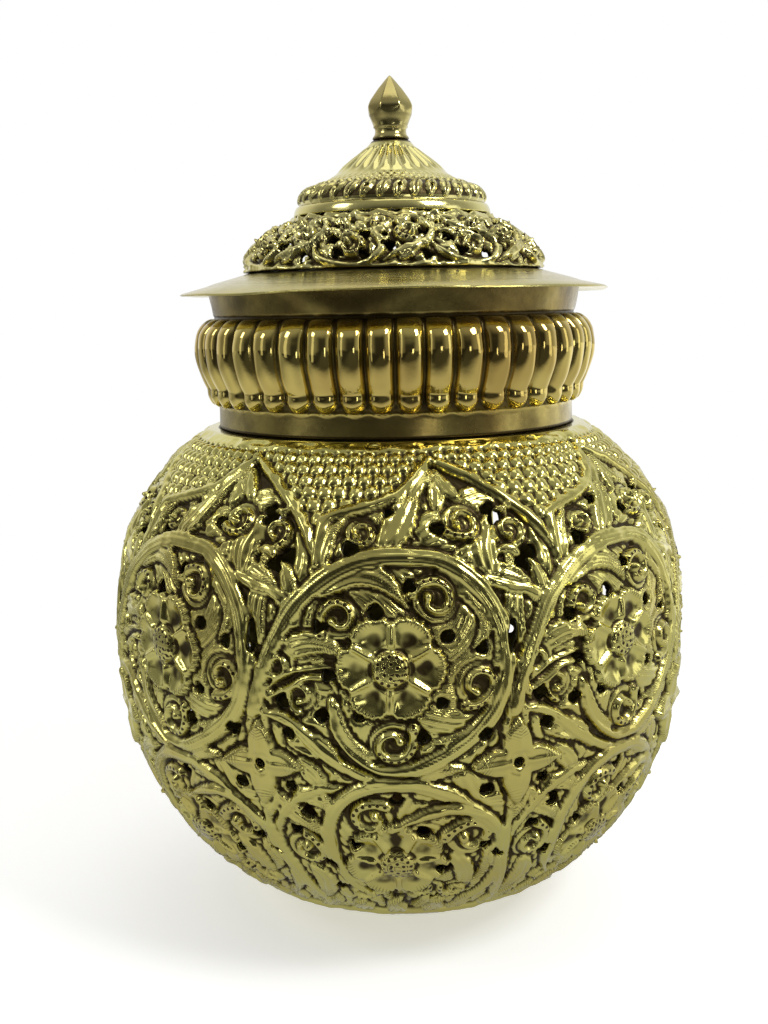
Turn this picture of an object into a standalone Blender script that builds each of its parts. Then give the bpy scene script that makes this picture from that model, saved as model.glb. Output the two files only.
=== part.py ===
"""Incense burner: a pierced brass globe, a fluted neck collar, and a pierced lid with a finial.

The burner stands on the XY plane with its axis on +Z, and its front faces -Y.  Lengths are in metres.
Each physical piece is one object.  The globe is two raised parts brazed together, and carries a mouth
ring; the incense dish stands inside on the globe's floor; the collar drops over the mouth ring; the lid
drops into the collar.
"""
import math

import bmesh
import bpy
from mathutils import Matrix, Vector

MM = 0.001
GAP = 0.3 * MM  # kept between pieces that touch

# Driving dimensions
GLOBE_R = 69.3 * MM  # widest outside radius of the globe
GLOBE_Z = 69.8 * MM  # height of its widest circle
GLOBE_UP = 60.3 * MM  # half-height that its upper curve would close at
GLOBE_DOWN = 73.05 * MM  # half-height that its lower curve would close at
UPPER_CURVE = (2.435, 2.064)  # powers of height and radius that shape the curve above the swell
LOWER_CURVE = (2.353, 1.983)  # and below it
GLOBE_SHEET = 1.4 * MM
SEAM_Z = 52.5 * MM  # the brazed seam between the globe's lower and upper parts
SHOULDER_Z = 118.0 * MM  # the flat shoulder that the collar stands on
MOUTH_R = 40.3 * MM  # clear radius of the mouth ring
MOUTH_SHEET = 1.2 * MM
MOUTH_TOP = 127.5 * MM
MOUTH_DEPTH = 5.0 * MM  # how far the mouth ring reaches into the globe
COLLAR_R = 43.0 * MM  # outside of the collar's lower plain band
COLLAR_TOP_R = 44.6 * MM  # outside of its upper plain band
COLLAR_BULGE_R = 48.4 * MM  # over the crests of the ribs
COLLAR_BASE = SHOULDER_Z + GAP
COLLAR_TOP = 150.2 * MM
COLLAR_SHEET = 1.1 * MM
LOWER_BAND = 6.0 * MM  # height of the collar's plain bands
UPPER_BAND = 6.9 * MM
RIBS = 44
# Ribs: share of their height, share of their swell, depth of the grooves (mm)
RIB_SHAPE = [(0.14, 0.38, 1.6), (0.34, 0.76, 2.2), (0.6, 1.0, 2.3), (0.84, 0.86, 1.4)]
BRIM_R = 51.2 * MM  # outside of the lid's brim
BRIM_INSIDE = 33.5 * MM
BRIM_SHEET = 1.0 * MM
BRIM_DROP = 15.5  # slope of the brim, degrees below level
LOCATING_SHEET = 1.0 * MM  # of the ring that centres the lid in the collar
LOCATING_PLAY = 0.5 * MM  # between that ring and the collar
LOCATING_DEPTH = 8.0 * MM  # how far it reaches down into the collar
DOME_R = 36.4 * MM  # outside of the lid's pierced dome
LID_SHEET = 1.2 * MM
CROWN_R = 23.6 * MM  # outside of the lid's step ring
CROWN_RISE = 17.3 * MM  # from the dome's top to the finial's foot
CROWN_SEAT = 4.4 * MM  # radius of the flat that the finial's foot stands on
CROWN_PLATE = 1.0 * MM
FINIAL_RISE = 14.7 * MM  # from that foot to the tip
STUD_R = 2.0 * MM  # the finial's stud
STUD_BORE = STUD_R + GAP
STUD_LENGTH = 5.7 * MM
WASHER_R = 3.9 * MM
WASHER_SHEET = 0.7 * MM
NUT_R = 3.7 * MM  # over the nut's corners
NUT_HEIGHT = 2.3 * MM
DISH_R = 28.2 * MM  # over the dish's rolled lip
DISH_FLOOR = 5.0 * MM  # underside of the dish's floor
DISH_FLAT = 16.0 * MM  # radius of that floor
DISH_SHEET = 1.2 * MM
DISH_FOOT = 13.6 * MM  # inside of the foot ring
SECTORS = 8  # repeats of the foliage round the globe and round the lid
STEPS = 5 * SECTORS  # facets round the large turned pieces
FRONT_FLOWER = -2.0  # azimuth of the front flower, degrees to the right of -Y

# Piercings: azimuth from a flower (degrees), height (mm), radius (mm)
GLOBE_PIERCINGS = [
    (-18.5, 97.9, 1.6),
    (-2.7, 87.6, 1.6),
    (-18.5, 68.7, 1.7),
    (16.3, 61.7, 1.6),
    (-15.0, 43.5, 1.6),
    (10.0, 29.3, 1.8),
]
DOME_PIERCINGS = [(0.0, 3.9, 1.3), (22.5, 8.1, 1.2)]  # heights above the dome's foot
CUTTER_LENGTH = 9.0 * MM  # through the sheet, with room on both sides


def clear_scene():
    for thing in list(bpy.data.objects):
        bpy.data.objects.remove(thing, do_unlink=True)


def brass(name, colour, roughness):
    material = bpy.data.materials.new(name)
    material.use_nodes = True
    shader = material.node_tree.nodes["Principled BSDF"]
    shader.inputs["Base Color"].default_value = (*colour, 1.0)
    shader.inputs["Metallic"].default_value = 1.0
    shader.inputs["Roughness"].default_value = roughness
    return material


def around(azimuth, radius, z):
    """The point at an azimuth in degrees, measured from -Y towards +X."""
    angle = math.radians(azimuth)
    return Vector((radius * math.sin(angle), -radius * math.cos(angle), z))


def finish(name, bm, material, sharp=40.0):
    bmesh.ops.recalc_face_normals(bm, faces=bm.faces)
    mesh = bpy.data.meshes.new(name)
    bm.to_mesh(mesh)
    bm.free()
    mesh.shade_smooth()
    mesh.set_sharp_from_angle(angle=math.radians(sharp))
    mesh.materials.append(material)
    thing = bpy.data.objects.new(name, mesh)
    bpy.context.scene.collection.objects.link(thing)
    return thing


def turned(name, outline, steps, material, ribs=None):
    """Turns a closed outline of (radius, z) about Z.  A point of radius 0 becomes one vertex on the axis.

    ribs, where given, is a function (index of outline point) -> depth of the grooves between ribs.
    """
    bm = bmesh.new()
    rings = []
    for index, (radius, z) in enumerate(outline):
        if radius < 1e-9:
            rings.append([bm.verts.new((0, 0, z))])
            continue
        groove = ribs(index) if ribs else 0.0
        rings.append([
            bm.verts.new(around(360.0 * k / steps, radius - groove * (k % 2), z))
            for k in range(steps)
        ])
    for here, there in zip(rings, rings[1:] + rings[:1]):
        if len(here) == 1 and len(there) == 1:
            continue  # the stretch along the axis
        for k in range(steps):
            n = (k + 1) % steps
            corners = [here[k % len(here)], here[n % len(here)]]
            corners += [there[n % len(there)], there[k % len(there)]]
            bm.faces.new(list(dict.fromkeys(corners)))
    return finish(name, bm, material)


def globe_radius(z):
    """Outside radius of the globe at a height."""
    above = z > GLOBE_Z
    share = (z - GLOBE_Z) / GLOBE_UP if above else (GLOBE_Z - z) / GLOBE_DOWN
    height_power, radius_power = UPPER_CURVE if above else LOWER_CURVE
    return GLOBE_R * (1 - share**height_power) ** (1 / radius_power)


def globe_heights(low, high, count):
    """Heights closer together towards both ends, where the curve turns fastest."""
    return [low + (high - low) * (1 - math.cos(math.pi * k / (count - 1))) / 2 for k in range(count)]


def pierce(thing, piercings, foot, radius_at, first, material):
    """Cuts eight-sided holes along the surface normal, repeated once a sector.  Heights are above foot."""
    bm = bmesh.new()
    step = 0.5 * MM
    for sector in range(SECTORS):
        for offset, height, hole in piercings:
            z = foot + height * MM
            radius = hole * MM
            azimuth = first + offset + 360.0 / SECTORS * sector
            slope = (radius_at(z + step) - radius_at(z - step)) / (2 * step)
            out = (around(azimuth, 1.0, 0.0) - Vector((0, 0, slope))).normalized()
            turn = out.to_track_quat("Z", "Y").to_matrix().to_4x4()
            place = Matrix.Translation(around(azimuth, radius_at(z), z)) @ turn
            bmesh.ops.create_cone(
                bm, cap_ends=True, segments=8, radius1=radius, radius2=radius,
                depth=CUTTER_LENGTH, matrix=place
            )
    cutter = finish(thing.name + "_cutter", bm, material)
    cutter.hide_render = True
    cutter.display_type = "WIRE"
    cut = thing.modifiers.new("piercings", "BOOLEAN")
    cut.operation = "DIFFERENCE"
    cut.solver = "EXACT"
    cut.object = cutter


def make_globe(material):
    """Two raised parts.  The lower one has the flat base; the upper one ends in the shoulder."""
    heights = globe_heights(0.0, SHOULDER_Z, 14)
    apart = 3.0 * MM  # nearest that a ring of vertices comes to the seam
    low = [z for z in heights if z < SEAM_Z - apart] + [SEAM_Z - GAP / 2]
    high = [SEAM_Z + GAP / 2] + [z for z in heights if z > SEAM_Z + apart]
    outer = [(globe_radius(z), z) for z in low]
    inner = [(r - GLOBE_SHEET, z) for r, z in outer[1:]]
    inner[0] = (outer[0][0] + 1.0 * MM, GLOBE_SHEET)
    outline = [(0.0, 0.0), *outer, *reversed(inner), (0.0, GLOBE_SHEET)]
    lower = turned("globe_lower", outline, STEPS, material)
    outer = [(globe_radius(z), z) for z in high]
    inner = [(r - GLOBE_SHEET, z) for r, z in outer[:-1]]
    mouth = MOUTH_R + MOUTH_SHEET + GAP
    rim = [(mouth, SHOULDER_Z), (mouth, SHOULDER_Z - GLOBE_SHEET)]
    upper = turned("globe_upper", [*outer, *rim, *reversed(inner)], STEPS, material)
    for piece, above in ((lower, False), (upper, True)):
        piercings = [hole for hole in GLOBE_PIERCINGS if (hole[1] * MM > SEAM_Z) == above]
        pierce(piece, piercings, 0.0, globe_radius, FRONT_FLOWER, material)


def make_mouth_ring(material):
    low = SHOULDER_Z - MOUTH_DEPTH
    turned_wall("mouth_ring", MOUTH_R, MOUTH_R + MOUTH_SHEET, low, MOUTH_TOP, STEPS, material)


def turned_wall(name, inside, outside, low, high, steps, material):
    """A plain ring of rectangular section."""
    turned(name, [(outside, low), (outside, high), (inside, high), (inside, low)], steps, material)


def make_collar(material):
    """A plain band, the ribs, and a wider plain band that the lid's brim rests over."""
    low = COLLAR_BASE + LOWER_BAND
    high = COLLAR_TOP - UPPER_BAND
    span = high - low
    bulge = COLLAR_BULGE_R - COLLAR_R
    outer = [(COLLAR_R, COLLAR_BASE), (COLLAR_R, low)]
    depths = [0.0, 0.0]
    for share, swell, depth in RIB_SHAPE:
        outer.append((COLLAR_R + bulge * swell, low + span * share))
        depths.append(depth * MM)
    outer += [(COLLAR_TOP_R + 0.4 * MM, high), (COLLAR_TOP_R, high + 0.8 * MM)]
    outer.append((COLLAR_TOP_R, COLLAR_TOP))
    depths += [0.0, 0.0, 0.0]
    inner = [
        (COLLAR_TOP_R - COLLAR_SHEET, COLLAR_TOP),
        (COLLAR_TOP_R - COLLAR_SHEET, high),
        (COLLAR_BULGE_R - 3.6 * MM, low + span * 0.58),
        (COLLAR_R - COLLAR_SHEET, low),
        (COLLAR_R - COLLAR_SHEET, COLLAR_BASE),
    ]
    depths += [0.0] * len(inner)
    turned("neck_collar", outer + inner, 2 * RIBS, material, ribs=lambda index: depths[index])


def brim_top(radius):
    """Height of the brim's upper face at a radius; its underside clears the collar's top edge."""
    over_edge = COLLAR_TOP + GAP + 1.1 * BRIM_SHEET
    return over_edge + (COLLAR_TOP_R - radius) * math.tan(math.radians(BRIM_DROP))


def make_lid_brim(material):
    """A sloping plate, thinned to a knife edge at its rim."""
    bevel = BRIM_R - BRIM_SHEET
    outline = [
        (BRIM_R, brim_top(BRIM_R)),
        (BRIM_INSIDE, brim_top(BRIM_INSIDE)),
        (BRIM_INSIDE, brim_top(BRIM_INSIDE) - BRIM_SHEET),
        (bevel, brim_top(bevel) - BRIM_SHEET),
        (BRIM_R, brim_top(BRIM_R) - 0.4 * BRIM_SHEET),
    ]
    turned("lid_brim", outline, 6 * SECTORS, material)


def make_locating_ring(material):
    outside = COLLAR_TOP_R - COLLAR_SHEET - LOCATING_PLAY
    inside = outside - LOCATING_SHEET
    low = COLLAR_TOP - LOCATING_DEPTH
    high = brim_top(outside) - BRIM_SHEET - GAP
    turned_wall("lid_locating_ring", inside, outside, low, high, STEPS, material)


def lifted(outline, foot):
    """An outline in millimetres, (radius, height above foot), in metres."""
    return [(r * MM, foot + rise * MM) for r, rise in outline]


DOME_FOOT = brim_top(DOME_R - LID_SHEET) + GAP
DOME_OUTLINE = lifted(
    [(36.4, 1.7), (35.9, 3.1), (33.9, 5.9), (31.3, 8.4), (27.1, 11.1), (24.2, 12.5)], DOME_FOOT
)
CROWN_FOOT = DOME_OUTLINE[-1][1] + GAP
CROWN_TOP = CROWN_FOOT + CROWN_RISE


def dome_radius(z):
    """Outside radius of the dome at a height, along its outline."""
    for (r0, z0), (r1, z1) in zip(DOME_OUTLINE, DOME_OUTLINE[1:]):
        if z <= z1:
            return r0 + (r1 - r0) * (z - z0) / (z1 - z0)
    return DOME_OUTLINE[-1][0]


def make_lid_dome(material):
    outer = DOME_OUTLINE
    inner = [(r - LID_SHEET, z - 0.5 * LID_SHEET) for r, z in outer[:-1]]
    inner.append((outer[-1][0] - 1.6 * MM, outer[-1][1]))
    outline = [(DOME_R, DOME_FOOT), *outer, *reversed(inner), (DOME_R - LID_SHEET, DOME_FOOT)]
    dome = turned("lid_dome", outline, STEPS, material)
    pierce(dome, DOME_PIERCINGS, DOME_FOOT, dome_radius, 180.0 / SECTORS, material)


def make_lid_crown(material):
    """The step ring, the petalled band and the hollow cone that carries the finial."""
    step_ring = [(22.6, 2.3), (22.2, 4.1), (20.6, 5.7), (17.6, 7.1)]
    cone = [(14.6, 8.6), (10.6, 12.3), (6.8, 16.1)]
    inner = [(9.4, 11.6), (13.9, 7.4), (19.4, 4.6), (21.0, 3.1), (22.0, 0.0)]
    plate_low = CROWN_TOP - CROWN_PLATE
    plate = [(CROWN_SEAT, CROWN_TOP), (STUD_BORE, CROWN_TOP)]
    plate += [(STUD_BORE, plate_low), (CROWN_SEAT, plate_low)]
    outer = [(CROWN_R, CROWN_FOOT), *lifted(step_ring + cone, CROWN_FOOT)]
    outline = [*outer, *plate, *lifted(inner, CROWN_FOOT)]
    turned("lid_crown", outline, STEPS, material)


def make_finial(material):
    """A cast bud on a waisted foot, with the plain stud that the nut holds from inside."""
    foot = CROWN_TOP + GAP
    bud = [(4.6, 0.0), (3.6, 1.0), (3.7, 1.5), (5.2, 5.7), (5.45, 7.5), (4.7, 9.4), (1.1, 13.7)]
    stud = [(0.0, foot - STUD_LENGTH), (STUD_R, foot - STUD_LENGTH), (STUD_R, foot)]
    outline = [*stud, *lifted(bud, foot), (0.0, foot + FINIAL_RISE)]
    turned("finial", outline, 16, material)


def make_fasteners(material):
    """The washer and the nut under the crown's plate."""
    washer_top = CROWN_TOP - CROWN_PLATE - GAP
    washer_low = washer_top - WASHER_SHEET
    nut_top = washer_low - GAP
    turned_wall("finial_washer", STUD_BORE, WASHER_R, washer_low, washer_top, 16, material)
    turned_wall("finial_nut", STUD_BORE, NUT_R, nut_top - NUT_HEIGHT, nut_top, 6, material)


def make_dish(material):
    """A spun dish for charcoal and resin, on a foot ring that keeps its hot floor off the globe."""
    outer = lifted([(21.5, 2.2), (25.4, 7.4), (27.0, 13.6)], DISH_FLOOR)
    lip = [(DISH_R, DISH_FLOOR + 14.4 * MM), (DISH_R - 0.8 * MM, DISH_FLOOR + 15.4 * MM)]
    inner = lifted([(26.0, 14.4), (24.2, 7.9), (20.8, 3.5)], DISH_FLOOR)
    outline = [
        (0.0, DISH_FLOOR), (DISH_FLAT, DISH_FLOOR), *outer, *lip, *inner,
        (DISH_FLAT - 0.4 * MM, DISH_FLOOR + DISH_SHEET), (0.0, DISH_FLOOR + DISH_SHEET),
    ]
    turned("incense_dish", outline, 4 * SECTORS, material)
    foot_low = GLOBE_SHEET + GAP
    foot_high = DISH_FLOOR - GAP
    foot_outside = DISH_FOOT + DISH_SHEET
    turned_wall("dish_foot_ring", DISH_FOOT, foot_outside, foot_low, foot_high, 4 * SECTORS, material)


def main():
    clear_scene()
    body = brass("globe_brass", (0.62, 0.55, 0.24), 0.30)
    collar = brass("collar_brass", (0.72, 0.62, 0.26), 0.18)
    lid = brass("lid_brass", (0.70, 0.64, 0.32), 0.25)
    inside = brass("inner_brass", (0.45, 0.36, 0.18), 0.45)
    make_globe(body)
    make_mouth_ring(inside)
    make_collar(collar)
    make_lid_brim(lid)
    make_locating_ring(inside)
    make_lid_dome(lid)
    make_lid_crown(lid)
    make_finial(lid)
    make_fasteners(inside)
    make_dish(inside)


main()
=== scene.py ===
"""The looks of a pierced brass incense burner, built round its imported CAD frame."""

import math

import bpy
import numpy as np
from mathutils import Euler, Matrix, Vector


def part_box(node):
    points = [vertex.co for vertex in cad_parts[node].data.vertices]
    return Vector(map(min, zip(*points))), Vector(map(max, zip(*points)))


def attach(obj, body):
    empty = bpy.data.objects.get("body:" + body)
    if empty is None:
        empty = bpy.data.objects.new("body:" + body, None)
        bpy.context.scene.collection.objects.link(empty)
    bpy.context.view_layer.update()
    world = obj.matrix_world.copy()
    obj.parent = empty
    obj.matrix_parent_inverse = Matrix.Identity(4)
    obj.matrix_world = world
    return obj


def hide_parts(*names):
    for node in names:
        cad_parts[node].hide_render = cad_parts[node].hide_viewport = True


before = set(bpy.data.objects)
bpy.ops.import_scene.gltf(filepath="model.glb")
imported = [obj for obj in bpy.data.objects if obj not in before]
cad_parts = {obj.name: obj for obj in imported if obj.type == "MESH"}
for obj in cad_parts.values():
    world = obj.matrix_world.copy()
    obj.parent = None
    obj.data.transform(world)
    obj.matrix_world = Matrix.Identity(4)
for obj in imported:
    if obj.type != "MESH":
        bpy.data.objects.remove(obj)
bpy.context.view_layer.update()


# ---- sizes, in mm

TAU = 2 * math.pi
FAR = 99.0                   # further than anything that is measured on a sheet


def mm_box(node):
    """Lowest and highest corner of a CAD node, in mm."""
    low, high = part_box(node)
    return low * 1000, high * 1000


GLOBE_NODES = ("globe_lower", "globe_upper")
GLOBE_RADIUS = mm_box("globe_upper")[1].x
GLOBE_BASE = mm_box("globe_lower")[0].z
SHOULDER = mm_box("globe_upper")[1].z
SWELL = GLOBE_BASE + 69.8 / 118.0 * (SHOULDER - GLOBE_BASE)     # height of the widest part
WALL = 1.4                   # the globe's, with its relief beaten out of it
COARSE = 3                   # quads to a larger face of an inner wall
TILES = 3                    # of an outer wall's unrolled map

MM_PER_DEGREE = GLOBE_RADIUS * TAU / 360
SHEET_PITCH = 0.16           # of the sheets the patterns are drawn on
STROKE_STEP = 0.9
GROOVE = 0.35                # worn round each motif
GROOVE_WIDTH = 0.7
SKIRT = 0.8                  # over which a motif rises to its height
BEAD_PITCH = 1.45            # of the punched dots
HATCH_PITCH = 0.72           # of the chased lines
HOLE_LIP = 0.7
LEAF_REACH = 14.0            # how far leaves reach from a lead stalk
LEAF_SWEEP = 1.15            # and how far forward they lean


# ---- the relief

def ease(x):
    """0 below 0, 1 above 1, and a smooth step between."""
    x = np.clip(x, 0.0, 1.0)
    return x * x * (3 - 2 * x)


def fluted(v, flutes):
    """So many round ribs across a stroke, where v runs from -1 to 1."""
    return np.abs(np.sin(math.pi * flutes / 2 * (v + 1)))**0.7


def through(points):
    """A smooth path through a few (azimuth, distance) points."""
    p = np.array(points, float)
    ends = np.vstack([2 * p[0] - p[1], p, 2 * p[-1] - p[-2]])
    parts = []
    for a, b, c, d in zip(ends, ends[1:], ends[2:], ends[3:]):
        steps = max(2, math.ceil(math.hypot(*((c - b) * (MM_PER_DEGREE, 1))) / STROKE_STEP))
        t = (np.arange(steps) / steps)[:, None]
        parts.append(0.5 * (2 * b + (c - a) * t + (2 * a - 5 * b + 4 * c - d) * t**2
                            + (3 * b - a - 3 * c + d) * t**3))
    return np.vstack(parts + [p[-1:]])


class Sheet:
    """Chased sheet metal laid flat, one repeat wide: azimuth in degrees across, mm down."""

    def __init__(self, start, span, length, radius_at, ground):
        self.start, self.span, self.length = start, span, length
        self.columns = round(span * MM_PER_DEGREE / SHEET_PITCH)
        self.rows = round(length / SHEET_PITCH)
        self.az = start + (np.arange(self.columns) + 0.5) * span / self.columns
        self.s = (np.arange(self.rows) + 0.5) * length / self.rows
        self.k = np.radians(radius_at(self.s))
        shape = (self.rows, self.columns)
        self.height = np.full(shape, ground)
        self.taken = np.zeros(shape, bool)
        self.swept = np.zeros(shape)
        self.stalk_away = np.full(shape, FAR)
        self.hole = np.full(shape, FAR)
        self.bead_u = np.zeros(shape)
        self.bead_v = np.full(shape, FAR)
        self.hatch_u = np.zeros(shape)
        self.hatch = np.zeros(shape)

    def window(self, low_az, high_az, low_s, high_s):
        """The part of the sheet between these bounds, or None."""
        i0 = max(0, math.floor((low_az - self.start) / self.span * self.columns))
        i1 = min(self.columns, math.ceil((high_az - self.start) / self.span * self.columns))
        j0 = max(0, math.floor(low_s / self.length * self.rows))
        j1 = min(self.rows, math.ceil(high_s / self.length * self.rows))
        return (slice(j0, j1), slice(i0, i1)) if i1 > i0 and j1 > j0 else None

    def degrees(self, mm, s):
        """That many mm across, as degrees at distance s."""
        return mm / np.interp(s, self.s, self.k)

    def round_a_point(self, az, s, reach):
        """For each repeat the point shows in: its window, and mm across and down from it."""
        wide = self.degrees(reach, s) * 1.3
        for turn in (-self.span, 0, self.span):
            view = self.window(az + turn - wide, az + turn + wide, s - reach, s + reach)
            if view:
                x = (self.az[None, view[1]] - az - turn) * self.k[view[0], None]
                yield view, x, np.broadcast_to(self.s[view[0], None] - s, x.shape)

    def along(self, path, reach):
        """For each repeat the path shows in: its window, signed mm across, mm along, its length."""
        mids = (path[1:] + path[:-1]) / 2
        spans = np.diff(path, axis=0) * np.column_stack(
            [np.interp(mids[:, 1], self.s, self.k), np.ones(len(mids))])
        lengths = np.hypot(*spans.T)
        starts = np.concatenate([[0], np.cumsum(lengths)])
        wide = self.degrees(reach, path[:, 1]).max() * 1.15
        low, high = path.min(0), path.max(0)
        for turn in (-self.span, 0, self.span):
            view = self.window(low[0] + turn - wide, high[0] + turn + wide,
                               low[1] - reach, high[1] + reach)
            if not view:
                continue
            shape = (view[0].stop - view[0].start, view[1].stop - view[1].start)
            best, across = np.full(shape, FAR), np.full(shape, FAR)
            mm = np.zeros(shape)
            for (a0, s0), (a1, s1), length, start in zip(path, path[1:], lengths, starts):
                part = self.window(min(a0, a1) + turn - wide, max(a0, a1) + turn + wide,
                                   min(s0, s1) - reach, max(s0, s1) + reach)
                if not part:
                    continue
                k = self.k[part[0], None]
                x = (self.az[None, part[1]] - a0 - turn) * k
                y = self.s[part[0], None] - s0
                dx, dy = (a1 - a0) * k, s1 - s0
                square = dx**2 + dy**2
                t = np.clip((x * dx + y * dy) / square, 0, 1)
                side = dx * y - dy * x
                away = np.hypot(x - t * dx, y - t * dy)
                local = tuple(slice(p.start - v.start, p.stop - v.start)
                              for p, v in zip(part, view))
                nearer = away < best[local]
                best[local] = np.where(nearer, away, best[local])
                across[local] = np.where(nearer, np.where(side < 0, -away, away), across[local])
                mm[local] = np.where(nearer, start + t * length, mm[local])
            yield view, across, mm, starts[-1]

    def lay(self, view, edge, height, groove=GROOVE, hatch=None, beads=None):
        """Lays a motif down: edge is mm in from its outline, and height what it rises to there."""
        inside = edge > 0
        near = np.clip(1 + edge / GROOVE_WIDTH, 0, 1) * ~inside
        skirt = ease(edge / SKIRT)
        old = self.height[view]
        floor = np.minimum(old, height) - groove * 0.5
        self.height[view] = np.where(inside, floor + (height - floor) * skirt, old - groove * near)
        self.taken[view] |= inside
        self.bead_v[view] = np.where(inside, FAR if beads is None else beads[1], self.bead_v[view])
        if beads is not None:
            self.bead_u[view] = np.where(inside, beads[0], self.bead_u[view])
        amount = 0 if hatch is None else hatch[1] * ease(edge / 0.35)
        self.hatch[view] = np.where(inside, amount, self.hatch[view])
        if hatch is not None:
            self.hatch_u[view] = np.where(inside, hatch[0], self.hatch_u[view])

    def stem(self, points, width, lift=0.75, taper=(0.45, 0.35), flutes=2, lead=False):
        """A raised, fluted stalk, thinner towards both ends.  A lead stalk has leaves growing off it."""
        for view, across, mm, length in self.along(through(points), LEAF_REACH if lead else width):
            t = mm / length
            half = width / 2 * (taper[0] + (1 - taper[0]) * ease(t / 0.18))
            half *= taper[1] + (1 - taper[1]) * ease((1 - t) / 0.25)
            v = np.clip(across / half, -1, 1)
            away = np.abs(across)
            self.lay(view, half - away, lift * (1 - 0.3 * v**2) * (0.25 + 0.75 * fluted(v, flutes)))
            if lead:
                nearer = (away < self.stalk_away[view]) & (mm > 0) & (mm < length)
                self.stalk_away[view] = np.where(nearer, away, self.stalk_away[view])
                swept = mm - LEAF_SWEEP * away + np.where(across > 0, 5.0, 0.0)
                self.swept[view] = np.where(nearer, swept, self.swept[view])

    def grow(self, leaf=10.4, flutes=4):
        """Covers the bare ground with fluted leaves that sweep forward from the nearest stalk."""
        share = self.swept / leaf % 1
        ridge = np.abs(np.sin(math.pi * flutes * share))**0.7
        swell = np.sin(math.pi * share)**0.5
        bare = ~self.taken & (self.stalk_away < LEAF_REACH)
        self.height = np.where(bare, self.height + 0.42 * ridge + 0.36 * swell, self.height)
        self.hatch_u = np.where(bare, self.swept * 0.9, self.hatch_u)
        self.hatch = np.where(bare, 0.4 * ease((self.stalk_away - 6.0) / 2.0), self.hatch)

    def leaf(self, points, width):
        """A fluted leaf from its stalk to its pointed tip, with a chased edge."""
        for view, across, mm, length in self.along(through(points), width):
            t = np.clip(mm / length, 0, 1)
            half = width / 2 * np.sin(math.pi * t**0.66)**0.8 + 0.05
            v = np.clip(across / np.maximum(half, 0.3), -1, 1)
            ribs = fluted(v, 3)
            height = 0.5 * (0.45 + 0.55 * t) + 0.5 * (ribs - 0.7) + 0.12 * v**2
            edge = half * (1 - 0.06 * np.cos(mm * TAU / 1.9)) - np.abs(across)
            self.lay(view, edge, height, hatch=(mm - 0.9 * np.abs(across), ease((t - 0.45) / 0.3)))

    def volute(self, az, s, radius, heading, turn, turns=0.86, tail=1.3):
        """A comma-shaped curl: a band, beaded along its back, that hooks round a small boss."""
        lift, boss = 0.65, radius * 0.27
        k = 1 / self.degrees(1.0, s)
        theta = np.linspace(-tail, turns * TAU, 22 + round(22 * turns))
        wound = np.clip(theta / theta[-1], 0, 1)
        rho = radius * (0.72 - 0.42 * wound**1.2 + 0.26 * np.clip(-theta, 0, None)**1.4)
        angle = math.radians(heading) + turn * theta
        path = np.column_stack([az + rho * np.cos(angle) / k, s + rho * np.sin(angle)])
        for view, x, y in self.round_a_point(az, s, radius + 1.0):
            away = np.hypot(x, y)
            self.lay(view, radius - away, lift - 1.0 + 0.5 * (away / radius)**4)
        for view, across, mm, length in self.along(path, radius * 0.5):
            t = mm / length
            half = radius * (0.31 - 0.15 * t) * ease(0.3 + t / 0.12)
            out = turn * across / half
            v = np.abs(out)
            rim = 0.34 * ease((v - 0.5) / 0.3) * ease((1.14 - v) / 0.25) + 0.3 * ease(t * 2 - 1.1)
            beads = (mm / BEAD_PITCH, np.where(t < 0.7, (out + 0.18) * half / BEAD_PITCH, FAR))
            self.lay(view, half - np.abs(across), lift - 0.12 + rim, groove=0.6, beads=beads)
        for view, x, y in self.round_a_point(*path[-1], radius * 0.4):
            away = np.hypot(x, y) / boss
            self.lay(view, boss * (1 - away), lift + 0.45 - 0.45 * away**2)

    def flower(self, az, s, radius, petals, phase):
        """An open flower: cupped petals with raised outlines and chased tips round a dotted boss."""
        lift, boss = 0.75, 4.0
        for view, x, y in self.round_a_point(az, s, radius + 1.5):
            away, angle = np.hypot(x, y), np.arctan2(y, x)
            part = (angle - phase) % (TAU / petals) - math.pi / petals
            forward, aside = away * np.cos(part) / radius, away * np.sin(part) / radius
            lobe = np.clip(np.cos(petals / 2 * part), 0, 1)
            edge = radius * (0.80 + 0.20 * lobe**0.6 - 0.025 * np.cos(7 * petals * part)) - away
            wide = 0.86 * math.tan(math.pi / petals) * forward + 0.02
            cup = 1 - np.hypot((forward - 0.58) / 0.33, aside / np.maximum(wide, 0.05))
            rim = np.exp(-(cup / 0.10)**2)
            height = lift * (0.45 + 0.35 * forward) - 0.82 * ease(cup / 0.8) + 0.22 * rim
            between = away * np.sin(math.pi / petals - np.abs(part))
            height += 0.5 * np.exp(-(between / 0.36)**2) - 0.25 * np.exp(-6 * (between - 0.9)**2)
            self.lay(view, edge, height, hatch=(angle * radius * 0.8, ease((forward - 0.80) / 0.06)))
            ring = np.round(away / BEAD_PITCH)
            beads = (angle * np.round(ring * TAU) / TAU, away / BEAD_PITCH - ring)
            self.lay(view, boss - away, lift + 0.5 - 0.4 * (away / boss)**2, groove=0.8, beads=beads)

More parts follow.
